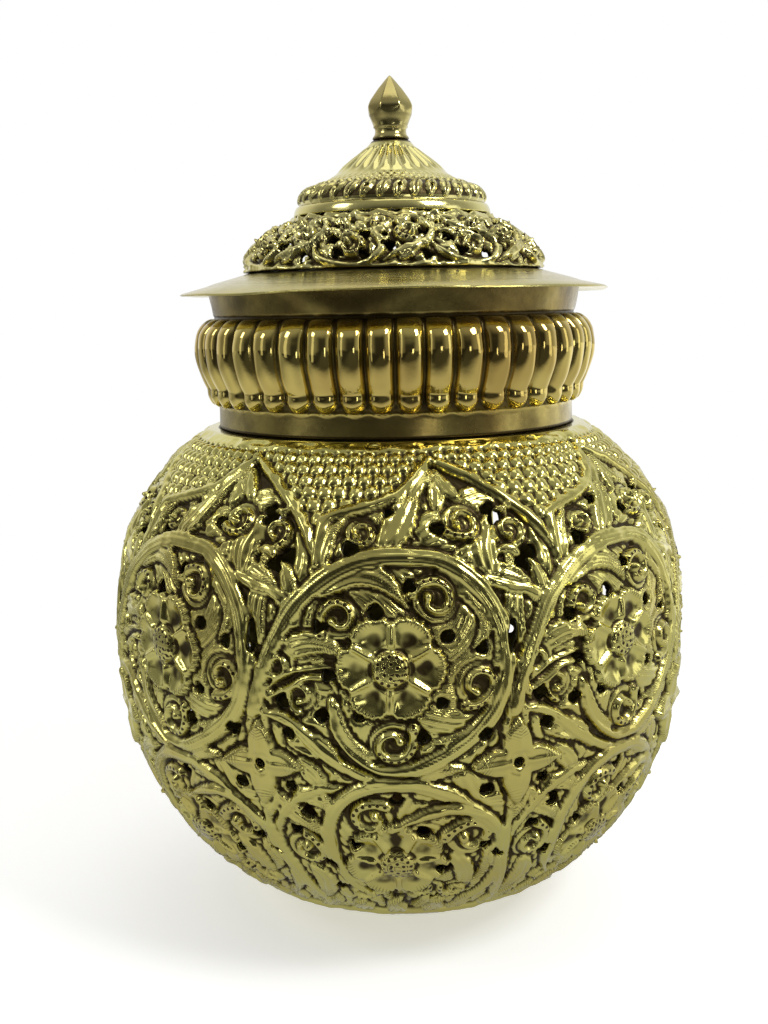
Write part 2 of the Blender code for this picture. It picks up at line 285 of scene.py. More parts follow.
    def blossom(self, az, s, reach, petals=4):
        """A flat blossom of pointed petals, each folded along its middle, round a pierced eye."""
        lift, slim, eye = 0.75, 0.3, 2.1
        for view, x, y in self.round_a_point(az, s, reach + 1.0):
            away, angle = np.hypot(x, y), np.arctan2(y, x)
            part = (angle + math.pi / petals) % (TAU / petals) - math.pi / petals
            forward, aside = away * np.cos(part), away * np.sin(part)
            t = np.clip(forward / reach, 0, 1)
            half = reach * slim * np.sin(math.pi * t**0.75)**0.8 + 0.9 * (1 - t)
            edge = np.minimum(half - np.abs(aside), reach - forward)
            v = np.abs(aside) / np.maximum(half, 0.3)
            height = lift * (0.75 + 0.25 * t) + 0.3 * (1 - v) + 0.3 * np.exp(-(aside / 0.55)**2)
            self.lay(view, edge, height, groove=0.7,
                     hatch=(forward - 0.4 * np.abs(aside), 0.7 * ease((t - 0.5) / 0.2)))
            self.lay(view, eye - away, lift + 0.35 * ease((away - 0.9) / 0.9), groove=0.3)

    def scales(self, az_from, az_to, s_from, s_to, inside, wide, tall, lift):
        """Rows of small overlapping scales over the part of a band where inside(az, s) is above 0."""
        for turn in (-self.span, 0, self.span):
            view = self.window(az_from + turn, az_to + turn, s_from, s_to)
            if view:
                s = self.s[view[0], None] + 0 * self.az[None, view[1]]
                az = self.az[None, view[1]] - turn + 0 * s
                row = np.floor(s / tall)
                x = ((az / wide + 0.5 * (row % 2)) % 1.0 - 0.5) * 2
                dome = np.clip(1 - np.abs(x)**1.8 - (1.35 * (s / tall - row - 0.52))**2, 0, 1)
                self.lay(view, inside(az, s), lift * dome**0.5 - 0.6)

    def plain_band(self, low, high, lift, groove):
        """A smooth band right across the sheet, between two distances."""
        s = self.s[:, None] + 0 * self.height
        self.lay((slice(None), slice(None)), np.minimum(s - low, high - s), lift, groove=groove)

    def pierce(self, az, s, radius, corners=0, phase=0.0, depth=0.1, stretch=1.0, lean=0.0):
        """A hole, round or with soft corners, stretched along its lean."""
        for view, x, y in self.round_a_point(az, s, radius * max(stretch, 1) + 4.0):
            c, n = math.cos(lean), math.sin(lean)
            u, v = (x * c + y * n) / stretch, y * c - x * n
            angle = np.arctan2(v, u)
            outline = radius * (1 + depth * np.cos(corners * (angle - phase)))
            self.hole[view] = np.minimum(self.hole[view], np.hypot(u, v) - outline)

    def blurred(self, values, mm):
        """Values spread over a square of about that size, running on round the repeat."""
        n = max(1, round(mm / SHEET_PITCH / 2))
        for _ in range(2):
            padded = np.pad(values, ((0, 0), (n + 1, n)), mode="wrap").cumsum(1)
            values = (padded[:, 2 * n + 1:] - padded[:, :-2 * n - 1]) / (2 * n + 1)
            padded = np.pad(values, ((n + 1, n), (0, 0)), mode="edge").cumsum(0)
            values = (padded[2 * n + 1:] - padded[:-2 * n - 1]) / (2 * n + 1)
        return values

    def finished(self):
        """The sheet for read(): fields with softened edges and darkened hollows, start, span, length."""
        near_hole = ease((HOLE_LIP - self.hole) / HOLE_LIP)
        rng = np.random.default_rng(7)
        blows = rng.standard_normal(self.height.shape)
        height = 1.2 * self.blurred(self.height, 0.25) - 0.30 * near_hole
        for size, depth in ((1.6, 0.035), (4.5, 0.10)):
            dents = self.blurred(blows, size)
            height += dents / dents.std() * depth
        hollow = self.blurred(height, 3.2) - height
        dark = ease((hollow - 0.02) / 0.55) + 0.35 * ease((-0.25 - height) / 0.5)
        fields = {"height": height, "hole": self.hole, "bead_u": self.bead_u, "bead_v": self.bead_v,
                  "hatch_u": self.hatch_u, "hatch": self.hatch, "patina": np.clip(dark, 0, 1)}
        return fields, self.start, self.span, self.length


# ---- the globe's pattern

SECTOR = 45.0                # eight repeats
FIRST_SECTOR = -27.0


def globe_radius(z):
    """The globe's outer radius at a height, on one superellipse above its swell and one below."""
    span, power, root = (60.3, 2.435, 2.064) if z > SWELL else (-73.05, 2.353, 1.983)
    return GLOBE_RADIUS * (1 - min((z - SWELL) / span, 1) ** power) ** (1 / root)


def run_lengths(points):
    """The distance along a line at each of its points."""
    return np.concatenate([[0], np.cumsum(np.hypot(*np.diff(points, axis=0).T))])


def measured(points):
    """An outline as (distance along it, radius, height, outward radius and height)."""
    p = np.array(points, float)
    s = run_lengths(p)
    slope = np.gradient(p, s, axis=0)
    slope /= np.hypot(*slope.T)[:, None]
    return s, p[:, 0], p[:, 1], -slope[:, 1], slope[:, 0]


globe_heights = SHOULDER - (SHOULDER - GLOBE_BASE) * np.linspace(0, 1, 900)
globe_line = measured([(globe_radius(z), z) for z in globe_heights])


# points as (azimuth, distance down the wall), and the leaf's width; the broad ones behind come first
GLOBE_LEAVES = (
    ([(-22, 44), (-19, 40), (-20, 33), (-21.5, 27)], 5.4),
    ([(-24, 47), (-25.5, 40), (-24.5, 31), (-27, 25)], 5.0),
    ([(-15, 34), (-14, 28), (-12.5, 23), (-9, 19)], 4.6),
    ([(-8, 29.5), (-4, 25), (0, 23.5), (4, 25)], 4.0), ([(-3, 28), (1, 20), (4, 14), (6.5, 11)], 7.0),
    ([(9, 30), (14, 28), (18, 25), (21, 25)], 6.0), ([(12, 30), (18, 32), (22, 34.5), (25, 40)], 5.4),
    ([(16, 33), (16, 26), (19, 21), (24, 17)], 6.2), ([(8, 19), (8.6, 14), (8.2, 10), (8, 7)], 4.4),
    ([(3, 16), (5.5, 12), (7, 9.5), (8, 6.5)], 3.6), ([(13, 17), (10.5, 13), (9.4, 10), (8.4, 7)], 3.6),
    ([(-15, 36), (-9, 31.5), (-3, 33), (1.5, 39)], 6.2),
    ([(-22, 50), (-18, 46), (-13, 45.5), (-8, 49)], 5.6),
    ([(6, 31), (12, 35), (14.6, 41), (11.4, 47.5)], 5.8),
    ([(10, 33), (16, 40), (16.6, 48), (14, 54)], 4.6), ([(15, 54), (15.6, 60), (11, 65), (4, 66)], 5.2),
    ([(-12, 56), (-10, 64), (-6, 68.4), (0, 70)], 4.2),
    ([(-20, 66), (-16, 66.5), (-12, 69), (-9, 74)], 6.0),
    ([(-18, 70), (-15, 74), (-13, 77), (-9, 76)], 5.0),
    ([(-20, 80), (-16, 79), (-13, 81), (-12, 86)], 5.0),
    ([(-25, 77), (-22, 82), (-17, 86), (-13, 92)], 5.6), ([(2, 75), (5, 72.6), (8.5, 72), (12, 72)], 4.4),
    ([(2, 78.5), (6, 77.5), (10, 79), (13, 82)], 4.4),
    ([(15, 86), (17.5, 93), (17, 101), (14, 106)], 5.4), ([(9, 94), (12, 99), (13, 105), (11, 111)], 5.0),
    ([(-12, 98), (-9, 103), (-6, 107), (-3, 113)], 5.4),
    ([(-20, 99), (-18, 104), (-19, 110), (-22, 116)], 5.4),
    ([(-24, 86), (-26, 94), (-24, 103), (-25, 112)], 5.2),
    ([(5, 104), (7, 108), (5, 114), (1, 118)], 5.0),
    ([(-23, 122), (-21, 118), (-18, 115), (-17, 111)], 5.0),
    ([(-13, 122), (-11, 118), (-12, 115), (-9, 112)], 5.0),
    ([(-5, 122), (-2, 119), (-3, 115), (0, 112)], 5.0), ([(5, 122), (8, 119), (8, 115), (11, 112)], 5.0),
    ([(12, 122), (15, 118), (15, 114), (17, 111)], 4.6))
# azimuth, distance, radius, heading, way of turning
GLOBE_CURLS = (
    (5.6, 36.6, 5.0, -110, 1), (-10.8, 40.2, 4.6, 200, 1), (12.8, 54.0, 5.0, 60, -1),
    (-1.2, 66.2, 5.2, 20, 1), (-17.3, 56.5, 3.7, 150, 1), (-7, 23.2, 3.5, 90, -1),
    (12.3, 21.4, 4.2, 100, -1), (-23.6, 23.4, 4.1, 60, -1), (-5.6, 84, 5.0, -100, -1),
    (12.6, 89.6, 5.8, -120, 1), (-19, 94.4, 5.0, -30, 1), (-10, 109, 3.7, 30, 1),
    (11.5, 108.5, 3.8, 150, -1), (23.5, 50, 4.3, 200, -1), (3.5, 108, 3.2, -30, 1))
# azimuth, distance, radius, corners, phase, depth of the corners
GLOBE_HOLES = (
    (-9, 26.5, 1.65, 3, 0, .08), (-20.5, 28, 1.6, 3, 1, .1), (7.5, 22.5, 1.5, 2, 0, .1),
    (-1.5, 19, 1.1, 3, 2, .2), (19, 20, 1.75, 3, 0, .3), (-26.5, 18.5, 1.6, 3, 1, .15),
    (22.5, 30, 1.7, 3, 3, .28), (1.3, 34, 1.35, 3, .5, .15), (-4.7, 39, 1.6, 4, 0, .05),
    (-14, 42, 1.35, 3, 0, .2), (7.5, 44, 1.5, 2, 0, .08), (13.5, 46.5, 1.45, 3, 1, .1),
    (-12.5, 52, 1.4, 3, 2, .2), (-20.5, 58, 1.65, 4, 0, .06), (-13.5, 60.5, 1.6, 4, 0, .1),
    (-7, 60.5, 1.1, 2, 0, .1), (6.7, 57.5, 1.4, 3, 0, .12), (3.8, 65, 1.5, 3, 2, .1),
    (14.3, 65, 1.6, 4, 0, .06), (-19.3, 64.6, 1.4, 3, 1, .1), (-19.8, 77.3, 1.3, 4, 1, .12),
    (20, 72, 1.15, 2, 1, .04), (-0.7, 79, 1.5, 4, 0, .08), (14.7, 78, 1.5, 2, 0, .08),
    (-17, 83.5, 1.6, 3, 1, .12), (-20.5, 89, 1.5, 3, 0, .15), (3.7, 87.5, 1.4, 2, 1, .12),
    (-9, 91, 1.35, 3, 2, .15), (15.3, 92.5, 1.55, 3, 0, .12), (8, 99, 1.8, 4, 0, .05),
    (-15, 98, 1.7, 3, 1, .15), (-15, 107.5, 1.3, 3, 0, .15), (-3, 109, 1.2, 3, 1, .2),
    (7, 111.5, 1.2, 3, 2, .15))


def globe_sheet():
    """One eighth of the globe's chasing, mirrored nowhere: the scrolls all wind one way."""
    sheet = Sheet(FIRST_SECTOR, SECTOR, globe_line[0][-1],
                  lambda s: np.interp(s, globe_line[0], globe_line[1]), -0.75)
    for points, width in GLOBE_LEAVES:
        sheet.leaf(points, width)
    for curl in GLOBE_CURLS:
        sheet.volute(*curl)
    # the four-petalled blossom between its leaves, and the two flowers
    sheet.leaf([(19.6, 70), (19.6, 65), (19.8, 60), (20.6, 54)], 6.4)
    sheet.leaf([(20.2, 74), (20.4, 79), (20.2, 83), (19.4, 88)], 5.6)
    sheet.blossom(20, 72, 10.2)
    sheet.flower(-2, 50.3, 11.6, 6, phase=-math.pi / 2)
    sheet.flower(-1.5, 96.3, 11.6, 7, phase=math.pi / 2)
    # stalks
    sheet.stem([(-25, 58), (-20.5, 55.5), (-16, 52.5), (-12, 53), (-10.5, 57)], 1.9, lift=0.6)
    sheet.stem([(-25, 57), (-20, 52), (-15, 50.4), (-10, 50)], 1.6, lift=0.5)
    great = [(-26, 60), (-24, 52), (-21.5, 44.5), (-18, 37.5), (-12, 31.5), (-5, 28.6), (5, 28.6),
             (10, 30.8), (14.3, 35.5), (17, 42), (17.8, 50), (16.6, 57.5), (12.5, 64.5), (6.5, 69.4),
             (1, 72.0), (-3.5, 71.8), (-8, 68.6), (-11, 63.5), (-12, 57)]
    lower = [(14, 82.4), (8.5, 78.4), (3, 75.8), (-4.5, 75.8), (-10.5, 80), (-13.6, 87), (-14, 95),
             (-12.5, 103), (-8, 110)]
    outer = [(-2, 87), (2, 84), (8, 81.8), (14.5, 84.2), (18.8, 91), (20.2, 100), (18.8, 109), (14, 118)]
    for points, width, lift, *taper_and_flutes in (
            ([(-26, 60), (-21, 61), (-17, 64), (-13, 68.5), (-6, 73.6), (1, 74.4)], 3.0, 0.6),
            ([(-24.6, 91), (-22.6, 85.4), (-19.4, 81), (-15, 77.6), (-10, 76.6)], 2.6, 0.6),
            ([(-19, 38.5), (-21, 31), (-25, 27), (-28, 29)], 2.4, 0.55),
            ([(12, 32), (18, 34.6), (24, 36.5), (27, 41)], 2.4, 0.55),
            ([(17.8, 47), (20.4, 52), (22.5, 59)], 2.6, 0.6),
            (great, 4.2, 0.85, (0.9, 0.25), 3), (lower, 3.8, 0.75, (0.5, 0.4), 3),
            (outer, 3.4, 0.7, (0.5, 0.4), 3),
            ([(-26, 84), (-25.5, 96), (-23, 106), (-21, 120)], 3.0, 0.6)):
        sheet.stem(points, width, lift, *taper_and_flutes, lead=True)
    # scaled panels on the shoulder, under pointed arches
    left = through([(-37, 5.5), (-33, 8), (-28, 11.5), (-22, 17), (-17.5, 23), (-15, 30)])
    right = through([(8, 5.5), (4, 11), (0, 15), (-6, 17.6), (-12, 19.2), (-14.5, 22), (-15, 30)])

    def panel(az, s):
        """Mm above the two arch legs, inside the panel."""
        legs = np.minimum(np.interp(az, left[:, 0], left[:, 1]),
                          np.interp(az, right[::-1, 0], right[::-1, 1]))
        return (legs - s) * 0.8

    sheet.scales(-37, 8, 0, 30, panel, wide=3.46, tall=3.1, lift=1.02)
    for leg in (left, right):
        sheet.stem(leg, 3.0, taper=(0.8, 0.5), flutes=3)
    sheet.grow()
    # a plain rim at the shoulder and plain turned metal towards the base
    for low, high, lift in ((-1, 3.4, 0.15), (122.5, 125, 0.5), (126.5, 170, 0.0)):
        sheet.plain_band(low, high, lift, groove=0.4)
    for hole in GLOBE_HOLES:
        sheet.pierce(*hole)
    sheet.pierce(-26, 44.5, 1.3, 2, 0, 0.1, stretch=2.5, lean=math.radians(95))
    sheet.pierce(18.5, 95.5, 0.9, 2, 0, 0.1, stretch=1.9, lean=math.radians(35))
    return sheet


# ---- meshes

def placed(az, radius, z):
    """Points in metres at azimuths in degrees from -Y towards +X, and mm radii and heights."""
    angle = np.radians(az)
    return np.stack([radius * np.sin(angle), -radius * np.cos(angle), z + 0 * angle], -1) / 1000


def read(sheet, az, s):
    """A finished sheet's fields at places on the wall, the sheet repeating round it."""
    fields, start, span, length = sheet
    rows, columns = fields["height"].shape
    u = ((az - start) % span) / span * columns - 0.5
    v = np.clip(s / length * rows - 0.5, 0, rows - 1.001)
    i, j = np.floor(u).astype(int), np.floor(v).astype(int)
    fu, fv = u - i, v - j
    left, right = i % columns, (i + 1) % columns
    return {name: (values[j, left] * (1 - fu) + values[j, right] * fu) * (1 - fv)
            + (values[j + 1, left] * (1 - fu) + values[j + 1, right] * fu) * fv
            for name, values in fields.items()}


def add_mesh(name, body, nodes, material, points, loops, sizes, uvs, marks):
    """A smooth mesh from flat arrays, riding on a body and standing for its CAD nodes."""
    mesh = bpy.data.meshes.new(name)
    mesh.vertices.add(len(points))
    mesh.vertices.foreach_set("co", np.asarray(points, np.float32).ravel())
    mesh.loops.add(len(loops))
    mesh.loops.foreach_set("vertex_index", np.asarray(loops, np.int32))
    mesh.polygons.add(len(sizes))
    mesh.polygons.foreach_set("loop_start", first_corners(sizes).astype(np.int32))
    mesh.update(calc_edges=True)
    mesh.validate()
    mesh.shade_smooth()
    layer = mesh.uv_layers.new(name="OFBake")
    layer.data.foreach_set("uv", np.asarray(uvs, np.float32).ravel())
    for label, values in marks.items():
        mesh.attributes.new(label, "FLOAT", "POINT").data.foreach_set(
            "value", np.asarray(values, np.float32))
    mesh.materials.append(material)
    thing = add_object(name, mesh)
    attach(thing, body)
    for node in nodes:
        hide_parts(node)


def add_object(name, data):
    """An object in the scene."""
    thing = bpy.data.objects.new(name, data)
    bpy.context.scene.collection.objects.link(thing)
    return thing


def first_corners(sizes):
    """Where each face's corners start, for faces of these sizes."""
    return np.concatenate([[0], np.cumsum(sizes)[:-1]])


class Faces:
    """Faces of a wall, kept as runs of corners: row, column counted past the seam, side, kind."""

    def __init__(self):
        self.parts, self.sizes = [], []

    def add(self, rows, columns, sides, kinds):
        """Adds faces of one size; each argument is an array of (face, corner)."""
        if rows.size:
            full = [np.broadcast_to(x, rows.shape).reshape(-1) for x in (rows, columns, sides, kinds)]
            self.parts.append(np.stack(full, -1))
            self.sizes.append(np.full(rows.shape[0], rows.shape[1]))

    def add_quads(self, chosen, corners, side, kind):
        """Adds the chosen quads of the grid, each by its (row, column) corners in turn."""
        jj, ii = np.nonzero(chosen)
        self.add(np.stack([jj + down for down, _ in corners], 1),
                 np.stack([ii + right for _, right in corners], 1), side, kind)


OUTER, INNER, LIP = 0, 1, 2


def hollow_wall(name, body, nodes, material, line, columns, rows, fields_at, wall,
                echo=0.6, floored=False):
    """A sheet-metal wall round the axis, modelled on both faces, with its holes cut through.

    line is the outline of its outer face, and echo the share of the relief that its inner face shows.
    """
    length, radii, heights, out_r, out_z = line
    az = np.tile(np.arange(columns) * 360.0 / columns, (rows + 1, 1))
    s = np.tile(np.linspace(length[0], length[-1], rows + 1)[:, None], (1, columns))
    hole = fields_at(az, s)["hole"]
    corner = (hole[:-1] + hole[1:]) / 2
    gone = (corner + np.roll(corner, -1, 1)) / 2 < 0
    for _ in range(3):     # holes never meet at a bare corner
        right, below = np.roll(gone, -1, 1)[:-1], gone[1:]
        cross = np.roll(below, -1, 1)
        pinch = (gone[:-1] & cross & ~right & ~below) | (~gone[:-1] & ~cross & right & below)
        gone[:-1] |= pinch
        gone[1:] |= pinch
    beside = np.zeros((rows + 1, columns), int)
    for quads in (gone, np.roll(gone, 1, 1)):
        beside[:-1] += quads
        beside[1:] += quads
    edge = (beside > 0) & (beside < 4)
    # the corners round a hole move onto its outline
    k = np.radians(np.interp(s, length, radii))
    down = (length[-1] - length[0]) / rows
    slope_x = (np.roll(hole, -1, 1) - np.roll(hole, 1, 1)) / (2 * (360.0 / columns * k))
    slope_y = np.gradient(hole, down, axis=0)
    steep = np.maximum(slope_x**2 + slope_y**2, 0.2)
    shift = np.clip(-hole / steep, -0.8 * down, 0.8 * down) * edge
    az = az + shift * slope_x / k
    s = s + shift * slope_y
    fields = fields_at(az, s)
    rise = fields["height"]
    r, z, nr, nz = (np.interp(s, length, values) for values in (radii, heights, out_r, out_z))
    outer, inner = (placed(az, r + nr * out, z + nz * out) for out in (rise, rise * echo - wall))

    faces = Faces()
    faces.add_quads(~gone, ((0, 0), (1, 0), (1, 1), (0, 1)), 0, OUTER)
    # the holes' walls and the wall's two rims
    past_end = np.ones((1, columns), bool)
    above, below = np.vstack([past_end, gone[:-1]]), np.vstack([gone[1:], past_end & (not floored)])
    for beyond, start, end in ((above, (0, 0), (0, 1)), (below, (1, 1), (1, 0)),
                               (np.roll(gone, 1, 1), (1, 0), (0, 0)),
                               (np.roll(gone, -1, 1), (0, 1), (1, 1))):
        faces.add_quads(~gone & beyond, (start, end, end, start), [[0, 0, 1, 1]],
                        [[OUTER, OUTER, LIP, LIP]])
    # the inner face, in larger faces away from the holes
    fine = gone.reshape(rows // COARSE, COARSE, columns // COARSE, COARSE).any((1, 3))
    fine[0], fine[-1] = True, True
    spread = np.repeat(np.repeat(fine, COARSE, 0), COARSE, 1)
    faces.add_quads(spread & ~gone, ((0, 0), (0, 1), (1, 1), (1, 0)), 1, INNER)
    by_size = {}
    for b, a in zip(*np.nonzero(~fine)):
        j, i, ring = b * COARSE, a * COARSE, []
        for dj, di, meets_fine in ((0, 1, fine[b - 1, a]), (1, 0, fine[b, (a + 1) % fine.shape[1]]),
                                   (0, -1, fine[b + 1, a]), (-1, 0, fine[b, a - 1])):
            ring += [(j + n * dj, i + n * di) for n in range(COARSE if meets_fine else 1)]
            j, i = j + COARSE * dj, i + COARSE * di
        by_size.setdefault(len(ring), []).append(ring)
    for rings in by_size.values():
        rings = np.array(rings)
        faces.add(rings[..., 0], rings[..., 1], 1, INNER)

    sizes = np.concatenate(faces.sizes)
    row, column, side, kind = np.concatenate(faces.parts).T
    count = (rows + 1) * columns
    at = row * columns + column % columns
    index = at + side * count
    points = np.concatenate([outer.reshape(-1, 3), inner.reshape(-1, 3)])
    marks = {n: np.concatenate([fields[n].ravel(), np.full(count, plain)])
             for n, plain in (("bead_u", 0), ("bead_v", FAR), ("hatch_u", 0), ("hatch", 0),
                              ("patina", 0.55)) if n in fields}
    # the unrolled map: the outer face in three tiles, the inner face in the last of four
    leftmost = np.minimum.reduceat(column, first_corners(sizes)).repeat(sizes)
    tile = np.minimum(leftmost // (columns // TILES), TILES - 1)
    sx, sy = slope_x.reshape(-1)[at], slope_y.reshape(-1)[at]
    push = (kind == LIP) * 0.55 / np.maximum(np.hypot(sx, sy), 0.3)
    flat_s = s.reshape(-1)[at]
    flat_az = az.reshape(-1)[at] + 360.0 * (column // columns)
    flat_az = flat_az - push * sx / np.interp(flat_s, length, np.radians(radii))
    v = (flat_s - push * sy - length[0]) / (length[-1] - length[0])
    inside = kind == INNER
    u = np.where(inside, flat_az / 360.0, flat_az / (360.0 / TILES) - tile)
    v = np.where(inside, v * 0.7, v)
    tile = np.where(inside, TILES, tile)
    uvs = np.stack([(tile % 2 + 0.02 + 0.96 * u) / 2, (tile // 2 + 0.02 + 0.96 * v) / 2], 1)
    if floored:
        points, index, sizes, uvs, marks = add_floors(
            points, index, sizes, uvs, marks, rows * columns, count, columns)
    used = np.unique(index)
    renumber = np.zeros(len(points), int)
    renumber[used] = np.arange(len(used))
    marks = {n: values[used] for n, values in marks.items()}
    add_mesh(name, body, nodes, material, points[used], renumber[index], sizes, uvs, marks)


def add_floors(points, index, sizes, uvs, marks, low_ring, count, columns):
    """Closes a wall's foot with a flat floor, inside and outside, in fewer and fewer steps."""
    for inner in (0, 1):
        ring = np.arange(columns) + low_ring + inner * count
        edge = points[ring]
        radius, height = np.hypot(edge[0, 0], edge[0, 1]), edge[:, 2].mean()
        for share, fewer in ((0.93, 1), (0.86, 4), (0.45, 4), (0.12, 2)):
            steps = len(ring) // fewer
            hollow = 0.00025 if share < 0.9 and not inner else 0.0
            made = placed(np.arange(steps) * 360.0 / steps, radius * 1000 * share,
                          (height + hollow) * 1000)
            new = len(points) + np.arange(steps)
            points = np.concatenate([points, made])
            faces = []
            for n in range(steps):
                face = [ring[(n * fewer + m) % len(ring)] for m in range(fewer + 1)]
                face += [new[(n + 1) % steps], new[n]]
                faces.append(face if inner else face[::-1])
            index = np.concatenate([index, np.array(faces).ravel()])
            sizes = np.concatenate([sizes, np.full(steps, fewer + 3)])
            ring = new
        index = np.concatenate([index, ring if inner else ring[::-1]])
        sizes = np.concatenate([sizes, [len(ring)]])
        place = points[index[len(uvs):]] / radius
        disc = np.stack([0.66 + 0.24 * inner + place[:, 0] * 0.08, 0.91 + place[:, 1] * 0.06], 1)
        uvs = np.concatenate([uvs, disc])
    for n in marks:
        plain = {"bead_v": FAR, "patina": 0.45}.get(n, 0.0)
        marks[n] = np.concatenate([marks[n], np.full(len(points) - len(marks[n]), plain)])
    return points, index, sizes, uvs, marks


def turned(name, body, node, material, outline, steps, shape=None, patina=0.2, closed=True,
           stains=None):
    """A closed outline of (radius, height) turned round the axis; shape(az, r, z) may bend it."""
    line = np.array(outline, float)
    lengths = run_lengths(line)
    az = np.arange(steps) * 360.0 / steps
    a, r = np.meshgrid(az, line[:, 0])
    z = np.broadcast_to(line[:, 1:], r.shape)
    mark = stains(a, r, z) if stains else np.full(r.shape, patina)
    if shape:
        r, z = shape(a, r, z)
    points = placed(a, r, z).reshape(-1, 3)
    rows = len(line)
    jj, ii = np.meshgrid(np.arange(rows if closed else rows - 1), np.arange(steps), indexing="ij")
    jj, ii = jj.ravel(), ii.ravel()
    row = np.stack([jj, jj + 1, jj + 1, jj], 1)
    column = np.stack([ii, ii, ii + 1, ii + 1], 1)
    index = ((row % rows) * steps + column % steps).ravel()
    total = lengths[-1] + (np.hypot(*(line[0] - line[-1])) if closed else 0)
    down = np.append(lengths, total)
    uvs = np.stack([column / steps, down[row] / total], -1).reshape(-1, 2) * 0.98 + 0.01
    sizes = np.full(len(row), 4)
    if not closed:     # the axis ends are closed with small flat faces
        index = np.concatenate([index, np.arange(steps)[::-1], (rows - 1) * steps + np.arange(steps)])
        sizes = np.concatenate([sizes, [steps, steps]])
        spin = np.radians(np.concatenate([az[::-1], az]))
        ends = np.stack([0.005 + 0.004 * np.sin(spin), 0.005 + 0.004 * np.cos(spin)], 1)
        uvs = np.concatenate([uvs, ends])
    add_mesh(name, body, (node,), material, points, index, sizes, uvs, {"patina": mark.ravel()})


def smooth_line(points, step):
    """A dense outline that rounds the corners between a few points."""
    p = np.array(points, float)
    for _ in range(3):
        cut = [p[0]]
        for a, b in zip(p, p[1:]):
            cut += [a * 0.75 + b * 0.25, a * 0.25 + b * 0.75]
        p = np.array(cut + [p[-1]])
    runs = run_lengths(p)
    at = np.linspace(0, runs[-1], max(3, round(runs[-1] / step) + 1))
    return np.column_stack([np.interp(at, runs, p[:, 0]), np.interp(at, runs, p[:, 1])])


def over(foot, *points):
    """An outline whose heights are given over a foot."""
    return [(r, foot + rise) for r, rise in points]


# ---- materials

def bare_tree(owner):
    """A material's or world's node tree, emptied."""
    owner.use_nodes = True
    owner.node_tree.nodes.clear()
    return owner.node_tree


def wire(tree, kind, inputs=None, **settings):
    """A shader node with its inputs linked or set."""
    node = tree.nodes.new("ShaderNode" + kind)
    for key, value in settings.items():
        setattr(node, key, value)
    for key, value in (inputs or {}).items():
        if isinstance(value, bpy.types.NodeSocket):
            tree.links.new(value, node.inputs[key])
        else:
            node.inputs[key].default_value = value
    return node


def makers(tree):
    """Two makers of nodes for a tree, of arithmetic and of smooth steps."""
    def maths(operation, a, b=0.0):
        return wire(tree, "Math", {0: a, 1: b}, operation=operation).outputs[0]

    def slope(value, low, high, to_low=0.0, to_high=1.0):
        return wire(tree, "MapRange", {"Value": value, "From Min": low, "From Max": high,
                                       "To Min": to_low, "To Max": to_high},
                    interpolation_type="SMOOTHSTEP").outputs[0]

    return maths, slope


def brass(name, polished, darker_tone, tarnish, roughness, chased=False, lines=0.0):
    """Polished brass, tarnished in patches, that has kept dark dirt in its hollows; its dark colour also
    paints shade where a mesh's marks ask for it.
    """
    material = bpy.data.materials.new(name)
    tree = bare_tree(material)
    maths, slope = makers(tree)
    place = wire(tree, "TexCoord").outputs["Object"]

    def times(a, b):
        return maths("MULTIPLY", a, b)

    def cloud(scale, detail=3.0, where=place):
        return wire(tree, "TexNoise", {"Vector": where, "Scale": scale, "Detail": detail,
                                       "Roughness": 0.6}).outputs["Fac"]

    def mixed(share, a, b):
        return wire(tree, "Mix", {0: share, 6: a, 7: b}, data_type="RGBA").outputs[2]

    def mark(label):
        return wire(tree, "Attribute", attribute_name=label).outputs["Fac"]

    broad, patches, grain = cloud(38.0), cloud(120.0), cloud(900.0, 2.0)
    colour = mixed(times(slope(broad, 0.40, 0.66), tarnish), (*polished, 1), (*darker_tone, 1))
    # the marks hold dirt and patina in hollows, and painted shade where a mesh puts it there
    hollow = maths("ADD", mark("patina"), times(maths("SUBTRACT", patches, 0.5), 0.5))
    dark = slope(hollow, 0.12, 0.85)
    rough = maths("ADD", times(dark, 0.26), roughness)
    rough = maths("ADD", rough, times(maths("SUBTRACT", grain, 0.5), 0.14))
    relief = maths("ADD", times(grain, 0.10), times(patches, 0.35))
    if chased:     # punched dots and chased lines
        bead_u = maths("SUBTRACT", maths("FRACT", mark("bead_u")), 0.5)
        away = maths("SQRT", maths("ADD", maths("POWER", bead_u, 2.0),
                                   maths("POWER", mark("bead_v"), 2.0)))
        dot = slope(away, 0.21, 0.29, 1.0, 0.0)
        wave = maths("COSINE", times(mark("hatch_u"), TAU / HATCH_PITCH))
        line = times(times(slope(wave, 0.0, 0.95), mark("hatch")), slope(patches, 0.32, 0.55))
        dark = maths("MAXIMUM", dark, maths("MAXIMUM", dot, times(line, 0.45)))
        relief = maths("SUBTRACT", maths("SUBTRACT", relief, times(dot, 1.2)), times(line, 0.55))
    if lines:      # left by the lathe
        height = wire(tree, "SeparateXYZ", {0: place}).outputs[2]
        steps = wire(tree, "CombineXYZ", {2: times(height, 60.0)}).outputs[0]
        relief = maths("ADD", relief, times(cloud(60.0, 4.0, steps), lines))
    bump = wire(tree, "Bump", {"Height": relief, "Distance": 0.0002, "Strength": 0.7})
    shader = wire(tree, "BsdfPrincipled", {
        "Base Color": mixed(dark, colour, (*DIRT_AND_SHADE, 1)), "Roughness": rough,
        "Normal": bump.outputs[0], "Metallic": maths("SUBTRACT", 1.0, times(dark, 0.2))})
    tree.nodes.active = wire(tree, "OutputMaterial", {"Surface": shader.outputs[0]})
    return material


# the dark brown of dirt in the hollows, which also paints shade
DIRT_AND_SHADE = (0.055, 0.038, 0.011)
GREEN_GOLD = (0.69, 0.635, 0.20)
DEEP_GOLD = (0.58, 0.47, 0.13)
BROWN_GOLD = (0.42, 0.27, 0.07)

